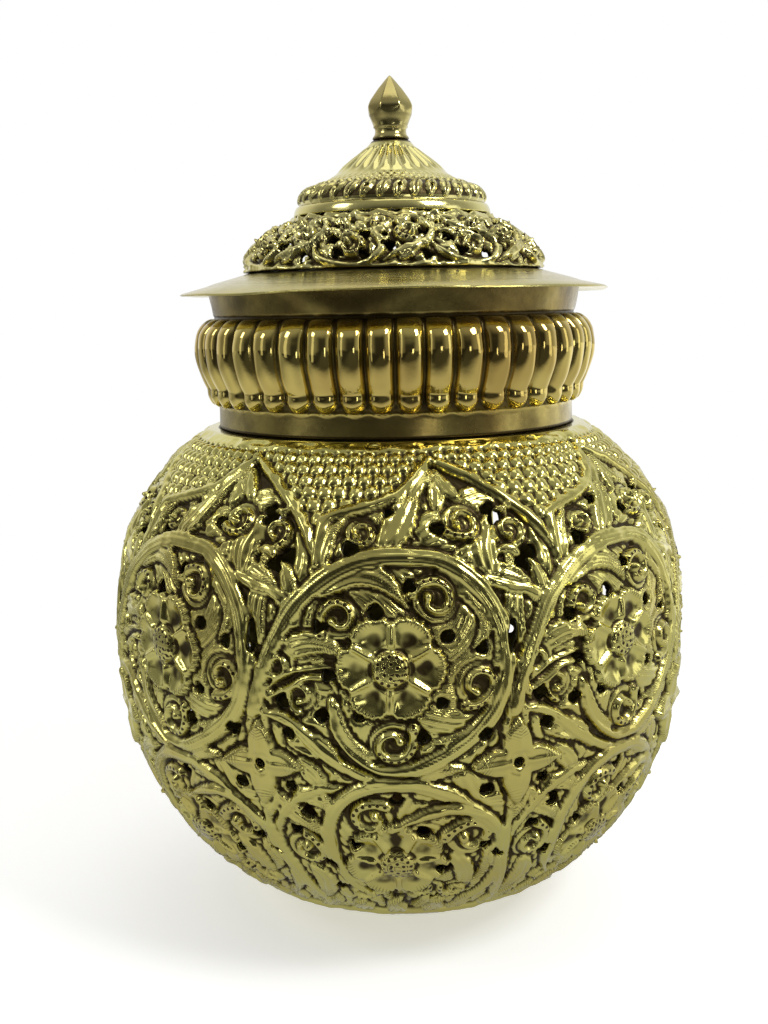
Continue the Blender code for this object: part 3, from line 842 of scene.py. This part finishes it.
globe_brass = brass("chased_globe_brass", GREEN_GOLD, DEEP_GOLD, 0.45, 0.15, chased=True)
lid_brass = brass("chased_lid_brass", (0.73, 0.67, 0.27), DEEP_GOLD, 0.4, 0.15, chased=True)
collar_brass = brass("polished_collar_brass", (0.74, 0.60, 0.18), BROWN_GOLD, 0.7, 0.09)
turned_brass = brass("turned_lid_brass", (0.53, 0.475, 0.18), DEEP_GOLD, 0.6, 0.16, lines=1.6)
cast_brass = brass("cast_finial_brass", (0.60, 0.52, 0.20), BROWN_GOLD, 0.7, 0.14)
smoked_brass = brass("smoked_inner_brass", (0.46, 0.36, 0.15), BROWN_GOLD, 0.8, 0.34)


# ---- the globe

GLOBE_COLUMNS, GLOBE_ROWS = 1032, 348


def wander(az, s):
    """Small hand-made shifts of the pattern, in degrees and mm; they close round the globe."""
    a = np.radians(az)
    across = 0.32 * np.sin(3 * a + 0.11 * s) + 0.22 * np.sin(5 * a - 0.07 * s + 1.3)
    down = 0.35 * np.sin(2 * a + 0.09 * s + 0.6) + 0.22 * np.sin(7 * a + 0.05 * s)
    return across, down * np.clip(s / 12, 0, 1)


def make_globe():
    """The globe, with a level ring inside the start of the chasing at its shoulder."""
    flat, steps = 3.6, 9
    sheet = globe_sheet().finished()
    s, r, z, nr, nz = globe_line
    lead = np.linspace(-flat, -0.2, steps)
    line = tuple(np.concatenate([ring, wall]) for ring, wall in (
        (lead, s), (r[0] + lead, r), (np.full(steps, z[0]), z), (np.zeros(steps), nr), (np.ones(steps), nz)))

    def fields_at(az, s):
        across, down = wander(az, s)
        found = read(sheet, az + across, s + down)
        plain = ease(s / 1.5)
        found["height"] = (found["height"] + 0.12 * np.sin(np.radians(az) * 2)) * plain
        found["height"] *= ease((globe_line[0][-1] - s) / 8.0)
        # painted shade: a dark ring on the globe's level ring just outside the collar's foot, for the
        # shadowed gap between them
        found["patina"] = np.maximum(found["patina"] * plain, 0.9 * ease((-1.7 - s) / 0.6))
        return found

    hollow_wall("globe_body", "globe", GLOBE_NODES, globe_brass, line,
                GLOBE_COLUMNS, GLOBE_ROWS, fields_at, WALL, floored=True)


# ---- the collar

RIBS = 44
collar_low, collar_high = mm_box("neck_collar")
COLLAR_FOOT, COLLAR_TOP = collar_low.z, collar_high.z
BULGE = collar_high.x
RIB_DEPTH = 2.3
RIBS_FROM, RIBS_TO = COLLAR_FOOT + 5.3, COLLAR_TOP - 6.6
RIB_FADE = 6.5


def make_collar():
    """The collar: ribs that swell to a bulge and end in round feet, between two plain bands."""
    low_band, top_band = BULGE - 5.4, BULGE - 3.8
    outline = [(low_band + 0.1, COLLAR_FOOT), (low_band, COLLAR_FOOT + 3.0), (low_band, RIBS_FROM)]
    tall = RIBS_TO - RIBS_FROM
    for share in np.linspace(0.04, 0.98, 24):
        low_part = (BULGE - low_band) * math.sin(math.pi / 2 * min(share / 0.66, 1))
        crest = low_band + low_part - 4.0 * max((share - 0.66) / 0.34, 0) ** 2.3
        depth = RIB_DEPTH * ease(((1 - share) * tall + 1.5) / RIB_FADE)
        outline.append((max(low_band + 0.5, crest - depth), RIBS_FROM + share * tall))
    outline += [(top_band - 1.2, RIBS_TO + 0.1), (top_band - 1.0, RIBS_TO + 1.2),
                (top_band - 0.6, RIBS_TO + 3.2), (top_band, COLLAR_TOP)]
    line = measured(smooth_line(outline[::-1], 0.2))
    length = line[0]
    from_s, to_s = (np.interp(-z, -line[2], length) for z in (RIBS_TO, RIBS_FROM))
    foot = 3.3       # over which each rib rounds off

    def fields_at(az, s):
        a = np.radians(az)
        rib = az / 360 * RIBS + 0.06 * np.sin(a * 5)
        x = np.abs(rib % 1 - 0.5) * 2
        e = 1 - np.hypot(x, np.maximum((s - to_s + foot) / foot, 0))
        rise = RIB_DEPTH * (1 - (1 - np.clip(e - 0.06, 0, 1))**2.6)**0.62
        rise *= ease((s - from_s + 1.5) / RIB_FADE) * ease((s - from_s + 0.3) / 0.5)
        worn = 0.06 * np.sin(s * 0.9 + 3 * np.sin(a * 7)) * (e > 0)
        cusp = 0.21 * ease((0.12 - np.abs(e + 0.10)) / 0.12) * (s > to_s - foot)
        crease = 0.25 * ease((0.5 - np.abs(s - from_s + 0.6)) / 0.5)
        groove = 0.62 * ease((0.22 - e) / 0.16) * (s > from_s) * (s < to_s)
        # a dark line along the crease under the neck, and painted shade along the collar's foot where the
        # gap to the globe lies in shadow
        seam_and_gap_shade = np.maximum(crease * 3, 0.8 * ease((0.7 - length[-1] + s) / 0.7))
        # painted shadow: the tops of the ribs just under the brim are darkened in colour
        shade = 0.45 * ease((from_s + 3.2 - s) / 2.2) * ease((s - from_s + 0.8) / 0.8)
        # painted shade: both plain bands are darkened in colour to stand in for the dim room they mirror,
        # the one under the brim also for the brim's shadow
        darker_tone = 0.44 * ease((from_s - s) / 1.5) + 0.38 * ease((s - to_s + 0.5) / 1.5)
        return {"height": rise + cusp - crease + worn, "hole": np.full(s.shape, FAR),
                "patina": np.clip(groove + seam_and_gap_shade + shade + darker_tone + 0.13, 0, 1)}

    hollow_wall("fluted_collar", "collar", ("neck_collar",), collar_brass, line,
                RIBS * 18, 96, fields_at, 1.1, echo=0.85)


# ---- the lid

def make_brim():
    """The brim: thin turned sheet that slopes down to a slightly bent edge."""
    low, high = mm_box("lid_brim")
    rim, inside = high.x, 33.5
    slope = math.tan(math.radians(15.5))

    def under(*points):
        """Outline points of (radius, depth under the sloping upper face)."""
        return [(r, high.z - (r - inside) * slope - depth) for r, depth in points]

    outline = under((rim, 0.25), (rim - 0.5, 0), (rim - 6, 0.15), (43.0, 0), (40.0, 0), (37.2, 0),
                    (36.0, 0), (inside, 0), (inside, 0.9), (37.0, 0.95), (42.0, 0.95), (rim - 4, 0.9),
                    (rim - 0.4, 0.55))

    def wavy(az, r, z):
        a = np.radians(az)
        wave = 0.28 * np.sin(2 * a + 0.5) + 0.16 * np.sin(5 * a + 2.0) + 0.07 * np.sin(11 * a)
        return r, z + wave * ease((r - 44.5) / 6.0)

    turned("brim", "lid", "lid_brim", turned_brass, outline, 288, wavy,
           stains=lambda az, r, z: 0.15 + 0.75 * ease((37.6 - r) / 1.6))


def dome_sheet(line):
    """One eighth of the dome's foliage: S-scrolls, curls and leaves between many holes."""
    foot = line[0][-1]
    sheet = Sheet(0.0, SECTOR, foot, lambda s: np.interp(s, line[0], line[1]), -0.7)
    for points, width in (
            ([(3, foot - 1), (7, foot - 4), (11, foot - 6), (15, foot - 3)], 3.8),
            ([(24, 2), (22, 6), (18, 8.4), (13, 8)], 3.4),
            ([(19, foot - 7), (24, foot - 9), (27, foot - 7), (26, foot - 4)], 3.0),
            ([(36, foot - 9), (41, foot - 10), (44, foot - 7), (44, foot - 3)], 3.4),
            ([(2, 3), (6, 5), (9, 4), (14, 3)], 2.8)):
        sheet.leaf(points, width)
    for az, s, radius, heading, turn in (
            (8.2, foot - 9.4, 3.9, 100, 1), (31, foot - 5.6, 4.1, -90, 1), (21.5, 4.2, 2.9, 20, -1),
            (41, 4.4, 3.0, 60, 1)):
        sheet.volute(az, s, radius, heading, turn, turns=0.9, tail=0.9)
    sheet.stem([(-3, foot - 1.3), (4, foot - 3.6), (13, foot - 5.5), (17.5, foot - 10.5),
                (12, foot - 14.2), (4, foot - 13.6)], 2.3, lift=0.85, lead=True)
    sheet.stem([(15, foot - 6.5), (19, foot - 2.6), (26, foot - 0.9), (36, foot - 1.0),
                (42.5, foot - 4.5), (39, foot - 9.4), (31, foot - 10.8)], 2.3, lift=0.85, lead=True)
    sheet.stem([(25, 1.5), (27, 5.6), (32, 7.6), (41, 7.8), (47, 5.5)], 1.7, lift=0.6, lead=True)
    sheet.grow(leaf=7.5, flutes=2)
    for low, high in ((-1, 1.0), (foot - 1.0, foot + 1)):
        sheet.plain_band(low, high, 0.25, groove=0.3)
    for hole in (
            (22.5, foot - 7.6, 1.45, 3, 0, .2), (0.3, foot - 5.6, 1.55, 3, 1, .2),
            (13.2, foot - 2.6, 1.35, 3, 2, .25), (26.2, foot - 4.0, 1.4, 3, 0, .22),
            (36.2, foot - 3.4, 1.3, 2, 1, .15), (14.2, foot - 9.8, 1.2, 3, 0, .2),
            (35.2, foot - 9.2, 1.3, 3, 2, .2), (19.5, foot - 12.6, 1.25, 2, 0, .2),
            (28, 3.6, 1.1, 3, 0, .2), (43.5, foot - 8.6, 1.1, 3, 1, .2), (11.6, 4.0, 1.0, 2, 1, .2)):
        sheet.pierce(*hole)
    return sheet


def make_dome():
    """The dome, its foliage turned a little against the globe's."""
    low, high = mm_box("lid_dome")
    wide, tall = 36.4, 12.5
    grown = high.x / wide
    outline = [(24.2, tall), (27.1, 11.1), (31.3, 8.4), (33.9, 5.9), (35.9, 3.1), (wide, 1.7), (wide, 0.0)]
    line = measured(smooth_line([(r * grown - 0.5, low.z + rise) for r, rise in outline], 0.2))
    sheet = dome_sheet(line).finished()

    def fields_at(az, s):
        a = np.radians(az)
        found = read(sheet, az + 1 + 0.8 * np.sin(3 * a + 0.2 * s), s + 0.25 * np.sin(5 * a))
        found["height"] = found["height"] * ease((line[0][-1] - s + 0.3) / 0.8)
        return found

    hollow_wall("pierced_dome", "lid", ("lid_dome",), lid_brass, line,
                600, 51, fields_at, 1.2)


def make_crown():
    """The crown: a fluted cone, a beaded edge and a band of leaning petals over a step."""
    low, high = mm_box("lid_crown")
    foot, top, wide = low.z, high.z, high.x
    outline = [(4.6, top), (5.6, top - 1.1), (6.8, top - 2.4)]
    outline += over(foot, (10.6, 12.2), (14.6, 8.6), (17.2, 7.2), (18.2, 6.9), (20.6, 5.9), (22.0, 4.3),
                    (22.3, 3.2), (22.2, 2.6), (wide - 0.5, 2.0), (wide - 0.1, 0.8), (wide, 0))
    line = measured(smooth_line(outline, 0.15))
    length = line[0]
    cone_end = np.interp(17.6, line[1], length)
    band_end = np.interp(-(foot + 3.0), -line[2], length)
    flutes_end = cone_end * 0.72
    beads, petals, holes = 48, 36, 18

    def fields_at(az, s):
        a = np.radians(az)
        k = np.radians(np.interp(s, length, line[1]))

        def across(count, shift=0.0):
            """Mm from the middle of the nearest of so many cells round the crown."""
            return ((az / 360 * count + shift) % 1 - 0.5) * 360 / count * k

        flute = np.abs(np.sin(a * 13 + 0.25 * np.sin(a * 3)))
        on_cone = ease((s - 1.6) / 1.5) * ease((flutes_end - s) / 3.0)
        height = on_cone * 0.5 * (flute**1.3 - 0.5)
        scaled = ease((s - flutes_end) / 2.0) * ease((cone_end - 1.0 - s) / 1.0)
        scale = np.abs(np.sin(a * 26 + s * 1.1)) * np.abs(np.sin(a * 26 - s * 1.1))
        bead = np.hypot(across(beads), s - cone_end)
        height = height + scaled * 0.25 * scale + 0.65 * np.sqrt(np.clip(1 - bead**2, 0, 1))
        y = s - (cone_end + band_end) / 2 - 0.6
        lean = across(petals) + 0.35 * y
        petal = 1 - (np.abs(lean) / 1.45)**1.7 - (np.abs(y) / ((band_end - cone_end) * 0.42))**2
        slit = ease((0.30 - np.abs(lean)) / 0.25) * ease((petal - 0.35) / 0.2)
        step = 0.3 * ease((0.35 - np.abs(s - band_end - 0.5)) / 0.3)
        height = height + 0.85 * np.sqrt(np.clip(petal, 0, 1)) - 0.5 * slit - step
        hole = np.hypot(across(holes, 0.25), y - 0.2) - 0.62
        band = ease((s - cone_end - 0.6) / 0.4) * ease((band_end - s) / 0.4)
        gap = band * (petal < 0.05)
        dark = 0.75 * gap + 0.9 * slit + 0.55 * on_cone * (1 - flute)**2 + 1.5 * step
        dark = np.maximum(dark, 0.9 * ease((1.0 - s) / 1.0))
        return {"height": height, "hole": np.where(band > 0.5, hole, FAR),
                "patina": np.clip(dark + 0.1, 0, 1)}

    hollow_wall("petalled_crown", "lid", ("lid_crown",), lid_brass, line,
                504, 84, fields_at, 1.0, echo=0.4)


def make_finial():
    """The finial: a stud, a waisted neck and an eight-sided bud over a groove."""
    low, high = mm_box("finial")
    stud, tip = low.z, high.z
    foot, sides, groove = tip - 14.7, 8, 5.3
    outline = [(1.95, stud), (2.0, stud + 0.2)]
    outline += over(foot, (2.0, 0), (4.1, 0), (4.35, 0.25), (4.3, 0.6), (3.85, 1.2), (3.7, 1.9), (3.75, 2.6),
                    (4.1, 2.9), (4.05, 3.3), (4.7, 4.9), (5.0, 5.6), (5.15, 6.0), (5.4, 7.0),
                    (5.42, 7.6), (5.2, 8.2), (4.75, 9.1), (3.0, 11.5))
    outline += [(1.2, tip - 1.1), (0.45, tip - 0.25), (0.1, tip)]

    def in_groove(z):
        return ease((0.5 - np.abs(z - foot - groove)) / 0.5)

    def faceted(az, r, z):
        turn = np.radians((az + 180 / sides) % (360 / sides) - 180 / sides)
        flat = math.cos(math.pi / sides) / np.cos(turn)
        amount = 0.85 * ease((z - foot - 5.6) / 1.6)
        return r * (1 + (flat - 1 + 0.035) * amount * (1 - 0.8 * in_groove(z))), z

    turned("finial_bud", "lid", "finial", cast_brass, outline, 96, faceted, closed=False,
           stains=lambda az, r, z: 0.25 + 0.4 * ease((foot + 0.9 - z) / 0.8) + 0.5 * in_groove(z))


# ---- inside

def make_rings():
    """The globe's mouth ring and the lid's locating ring, with rolled edges."""
    for node, body in (("mouth_ring", "globe"), ("lid_locating_ring", "lid")):
        low, high = mm_box(node)
        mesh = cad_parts[node].data
        inside = min(math.hypot(v.co.x, v.co.y) for v in mesh.vertices) * 1000
        out, soft = high.x, 0.25
        outline = [(out, low.z), (out, high.z - soft), (out - soft, high.z), (inside + soft, high.z),
                   (inside, high.z - soft), (inside, low.z)]
        turned(node + "_rolled", body, node, smoked_brass, outline, 240, patina=0.35)


def make_fasteners():
    """The washer and the six-sided nut on the finial's stud."""
    low, high = mm_box("finial_washer")
    bore = 2.3
    outline = [(high.x, low.z + 0.15), (high.x, high.z - 0.15), (high.x - 0.15, high.z), (bore, high.z),
               (bore, low.z), (high.x - 0.15, low.z)]
    turned("washer", "lid", "finial_washer", smoked_brass, outline, 64, patina=0.4)
    low, high = mm_box("finial_nut")
    out = high.x
    outline = [(out - 0.35, low.z), (out, low.z + 0.3), (out, high.z), (bore, high.z), (bore, low.z)]

    def hexagon(az, r, z):
        turn = np.radians((az + 30) % 60 - 30)
        return np.where(r > bore + 0.2, r * math.cos(math.pi / 6) / np.cos(turn), r), z

    turned("nut", "lid", "finial_nut", smoked_brass, outline, 72, hexagon, patina=0.4)


def make_dish():
    """The dish, darkened by ash inside, and its foot ring."""
    low, high = mm_box("incense_dish")
    floor, lip, wide = low.z, high.z, high.x
    wall = over(floor, (15.0, 0), (16.5, 0.1), (21.5, 2.2), (25.4, 7.4))
    wall += over(lip, (27.0, -1.8), (wide, -1.3), (wide, -0.5), (wide - 0.6, 0), (wide - 1.6, -0.2),
                 (26.0, -1.4))
    wall += over(floor, (24.2, 7.9), (20.8, 3.5), (16.0, 1.3), (12.0, 1.2))
    outline = [*over(floor, (0.3, 0), (8.0, 0)), *map(tuple, smooth_line(wall, 0.6)),
               *over(floor, (6.0, 1.2), (0.3, 1.2))]

    def stains(az, r, z):
        return np.clip(0.35 + 0.6 * ease((20 - r) / 12) * (z > floor + 0.6)
                       + 0.1 * np.sin(np.radians(az) * 5 + r), 0, 1)

    turned("ash_dish", "dish", "incense_dish", smoked_brass, outline, 160, closed=False,
           stains=stains)
    low, high = mm_box("dish_foot_ring")
    inside = 13.6
    outline = [(high.x, low.z + 0.2), (high.x, high.z), (inside, high.z), (inside, low.z + 0.2),
               (inside + 0.2, low.z), (high.x - 0.2, low.z)]
    turned("dish_foot", "dish", "dish_foot_ring", smoked_brass, outline, 120, patina=0.5)


# ---- floor, light and camera

EYE_DISTANCE = 0.294         # in front of the axis, m
EYE_HEIGHT = 0.14635
EYE_PITCH = 9.87             # degrees below level
EYE_ROLL = -1.10             # the photograph leans this much
LENS = 41.84
SIDE_SHIFT = -0.01357
BACKGROUND = 1.0             # brightness of the white all round


def make_floor():
    """A wide pale disc under the burner."""
    mesh = bpy.data.meshes.new("floor")
    ring = [(math.cos(TAU * n / 96) * 4, math.sin(TAU * n / 96) * 4, -0.0002) for n in range(96)]
    mesh.from_pydata(ring, [], [list(range(96))])
    material = bpy.data.materials.new("pale_floor")
    tree = bare_tree(material)
    maths, slope = makers(tree)

    def shining(strength, colour=(1, 1, 1, 1)):
        return wire(tree, "Emission", {"Color": colour, "Strength": strength}).outputs[0]

    place = wire(tree, "TexCoord").outputs["Object"]
    away = wire(tree, "VectorMath", {0: place}, operation="LENGTH").outputs["Value"]
    card = wire(tree, "BsdfDiffuse", {"Color": (0.9, 0.9, 0.89, 1)}).outputs[0]
    paper = wire(tree, "AddShader", {0: card, 1: shining(0.46)}).outputs[0]
    both = wire(tree, "MixShader", {0: slope(away, 0.08, 0.34), 1: paper, 2: shining(BACKGROUND)})
    # the burner mirrors a glowing floor, a painted reflection: dim towards the viewer and bright behind,
    # with a painted shadow close round the burner and dimmer to the left
    x, y, _ = wire(tree, "SeparateXYZ", {0: place}).outputs
    level = maths("ADD", slope(y, -0.42, -0.13, 0.06, 0.56), slope(y, 0.0, 0.4, 0.0, 0.5))
    # painted shadow: the mirrored floor is darker close round the burner
    level = maths("MULTIPLY", level, slope(away, 0.03, 0.16, 0.75, 1.1))
    # painted shade: the mirrored floor is darker to the left
    level = maths("MULTIPLY", level, slope(x, -0.5, -0.12, 0.4, 1.0))
    seen = wire(tree, "LightPath").outputs["Is Camera Ray"]
    all_rays = wire(tree, "MixShader", {0: seen, 1: shining(level, (1, 1, 0.98, 1)), 2: both.outputs[0]})
    wire(tree, "OutputMaterial", {"Surface": all_rays.outputs[0]})
    mesh.materials.append(material)
    floor = add_object("floor", mesh)


def lamp(name, place, size, watts, tall=None, aim=0.1):
    """A soft panel light, turned to a point on the axis."""
    data = bpy.data.lights.new(name, "AREA")
    data.energy, data.size = watts, size
    if tall:
        data.shape, data.size_y = "RECTANGLE", tall
    thing = add_object(name, data)
    thing.location = place
    thing.rotation_euler = (Vector((0, 0, aim)) - Vector(place)).to_track_quat("-Z", "Y").to_euler()


def make_surroundings():
    """A white room, dim in front of the burner at eye level, where its viewer stands."""
    world = bpy.data.worlds.new("white_room")
    tree = bare_tree(world)
    maths, slope = makers(tree)

    def blend(share, a, b):
        return wire(tree, "Mix", {0: share, 2: a, 3: b}).outputs[0]

    way = wire(tree, "TexCoord").outputs["Generated"]
    x, y, z = wire(tree, "SeparateXYZ", {0: way}).outputs
    front = maths("ADD", slope(x, -0.85, -0.30, 0.24, 0.035), slope(x, 0.30, 0.85, 0.0, 0.34))
    room = blend(slope(y, 0.0, 0.75), blend(slope(z, 0.22, 0.80), front, 0.34), 0.9)
    seen = wire(tree, "LightPath").outputs["Is Camera Ray"]
    light = wire(tree, "Background", {"Color": (1, 1, 1, 1), "Strength": blend(seen, room, BACKGROUND)})
    wire(tree, "OutputWorld", {"Surface": light.outputs[0]})
    bpy.context.scene.world = world
    lamp("high_right", (0.42, -0.30, 0.58), 0.22, 2.4)
    lamp("high_left", (-0.55, -0.25, 0.55), 0.2, 0.6)
    lamp("overhead", (0.05, 0.0, 0.9), 0.45, 0.65)
    lamp("left_window", (-0.75, -0.45, 0.25), 0.22, 0.22, tall=0.6)
    lamp("right_window", (0.85, -0.25, 0.25), 0.3, 0.6, tall=0.6)
    lamp("low_front", (0.30, -0.85, 0.12), 0.14, 0.16, aim=0.05)


def make_camera():
    """The photograph's eye."""
    data = bpy.data.cameras.new("camera")
    data.lens, data.shift_x = LENS, SIDE_SHIFT
    data.clip_start, data.clip_end = 0.01, 20.0
    eye = add_object("camera", data)
    level = Euler((math.radians(90 - EYE_PITCH), 0, 0)).to_matrix()
    roll = Euler((0, 0, math.radians(EYE_ROLL))).to_matrix()
    eye.location = (0, -EYE_DISTANCE, EYE_HEIGHT)
    eye.rotation_euler = (level @ roll).to_euler()
    bpy.context.scene.camera = eye


# ---- the scene

make_globe()
make_collar()
make_brim()
make_dome()
make_crown()
make_finial()
make_rings()
make_fasteners()
make_dish()
make_floor()
make_surroundings()
make_camera()
bpy.context.scene.view_settings.view_transform = "Standard"
